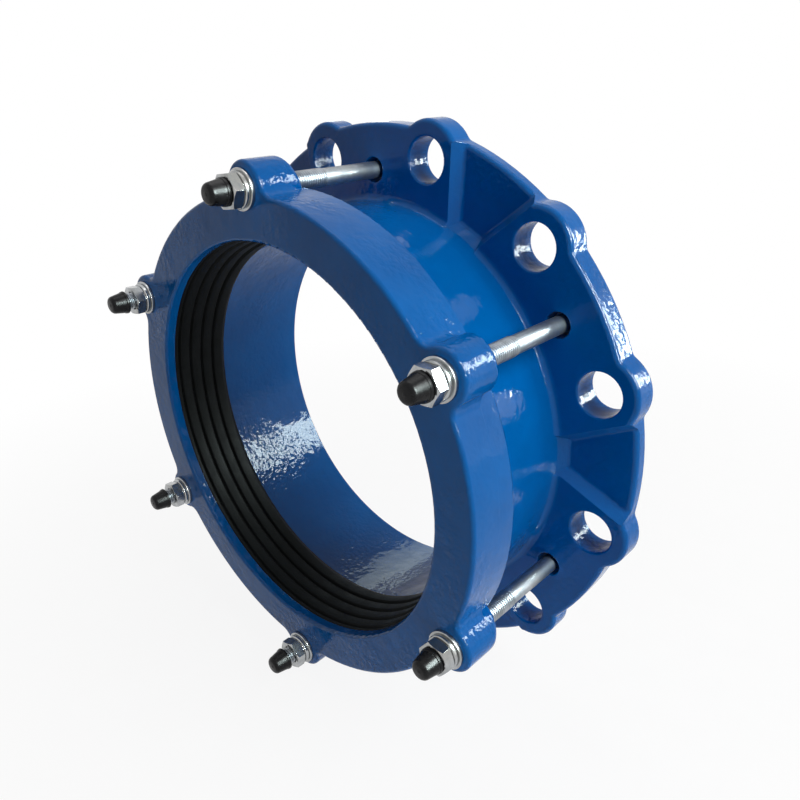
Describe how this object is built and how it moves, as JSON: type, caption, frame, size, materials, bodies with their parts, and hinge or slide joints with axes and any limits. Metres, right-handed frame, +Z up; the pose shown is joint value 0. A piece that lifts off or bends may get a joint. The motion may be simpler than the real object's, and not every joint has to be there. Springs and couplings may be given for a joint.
{
  "type": "flange adaptor",
  "caption": "Cast pipe fitting that joins a plain pipe end to a flange: lobed drilled flange with a short bell, rubber gasket, and an end ring drawn up by tie bolts.",
  "frame": {"origin": "centre of the bolt circle on the flange's drilled face, on the pipe axis; the raised sealing face stands 3 mm proud of it", "axes": "+Y along the pipe axis, out of the mating side; +Z up, through the first tie bolt; +X to the right seen from the end ring"},
  "size_m": [0.3884, 0.1536, 0.3884],
  "materials": {
    "coated_casting": "glossy blue coating over a slightly uneven casting",
    "plated_steel": "bright zinc plate",
    "seal_rubber": "black, satin",
    "cap_plastic": "black, soft sheen"
  },
  "bodies": {
    "flange": {"flange_body": "coated_casting", "gasket": "seal_rubber", "tie_bolt_1": "plated_steel", "tie_bolt_2": "plated_steel", "tie_bolt_3": "plated_steel", "tie_bolt_4": "plated_steel", "tie_bolt_5": "plated_steel", "tie_bolt_6": "plated_steel", "cap_1": "cap_plastic", "cap_2": "cap_plastic", "cap_3": "cap_plastic", "cap_4": "cap_plastic", "cap_5": "cap_plastic", "cap_6": "cap_plastic"},
    "end_ring": {"end_ring": "coated_casting", "washer_1": "plated_steel", "washer_2": "plated_steel", "washer_3": "plated_steel", "washer_4": "plated_steel", "washer_5": "plated_steel", "washer_6": "plated_steel"},
    "nut_1": {"nut_1": "plated_steel"},
    "nut_2": {"nut_2": "plated_steel"},
    "nut_3": {"nut_3": "plated_steel"},
    "nut_4": {"nut_4": "plated_steel"},
    "nut_5": {"nut_5": "plated_steel"},
    "nut_6": {"nut_6": "plated_steel"}
  },
  "joints": [
    {"name": "end_ring_slide", "type": "slide", "parent": "flange", "child": "end_ring", "axis": [0, 1, 0], "range_m": [0, 0.008], "deforming": ["gasket"]},
    {"name": "nut_1_turn", "type": "hinge", "parent": "end_ring", "child": "nut_1", "pos_m": [0, -0.1292, 0.164], "axis": [0, 1, 0], "range_deg": [0, 1646]},
    {"name": "nut_2_turn", "type": "hinge", "parent": "end_ring", "child": "nut_2", "pos_m": [0.14203, -0.1292, 0.082], "axis": [0, 1, 0], "range_deg": [0, 1646]},
    {"name": "nut_3_turn", "type": "hinge", "parent": "end_ring", "child": "nut_3", "pos_m": [0.14203, -0.1292, -0.082], "axis": [0, 1, 0], "range_deg": [0, 1646]},
    {"name": "nut_4_turn", "type": "hinge", "parent": "end_ring", "child": "nut_4", "pos_m": [0, -0.1292, -0.164], "axis": [0, 1, 0], "range_deg": [0, 1646]},
    {"name": "nut_5_turn", "type": "hinge", "parent": "end_ring", "child": "nut_5", "pos_m": [-0.14203, -0.1292, -0.082], "axis": [0, 1, 0], "range_deg": [0, 1646]},
    {"name": "nut_6_turn", "type": "hinge", "parent": "end_ring", "child": "nut_6", "pos_m": [-0.14203, -0.1292, 0.082], "axis": [0, 1, 0], "range_deg": [0, 1646]}
  ],
  "couplings": [
    {"joint": "nut_1_turn", "follows": "end_ring_slide", "rad_per_m": 3590.4},
    {"joint": "nut_2_turn", "follows": "end_ring_slide", "rad_per_m": 3590.4},
    {"joint": "nut_3_turn", "follows": "end_ring_slide", "rad_per_m": 3590.4},
    {"joint": "nut_4_turn", "follows": "end_ring_slide", "rad_per_m": 3590.4},
    {"joint": "nut_5_turn", "follows": "end_ring_slide", "rad_per_m": 3590.4},
    {"joint": "nut_6_turn", "follows": "end_ring_slide", "rad_per_m": 3590.4}
  ]
}
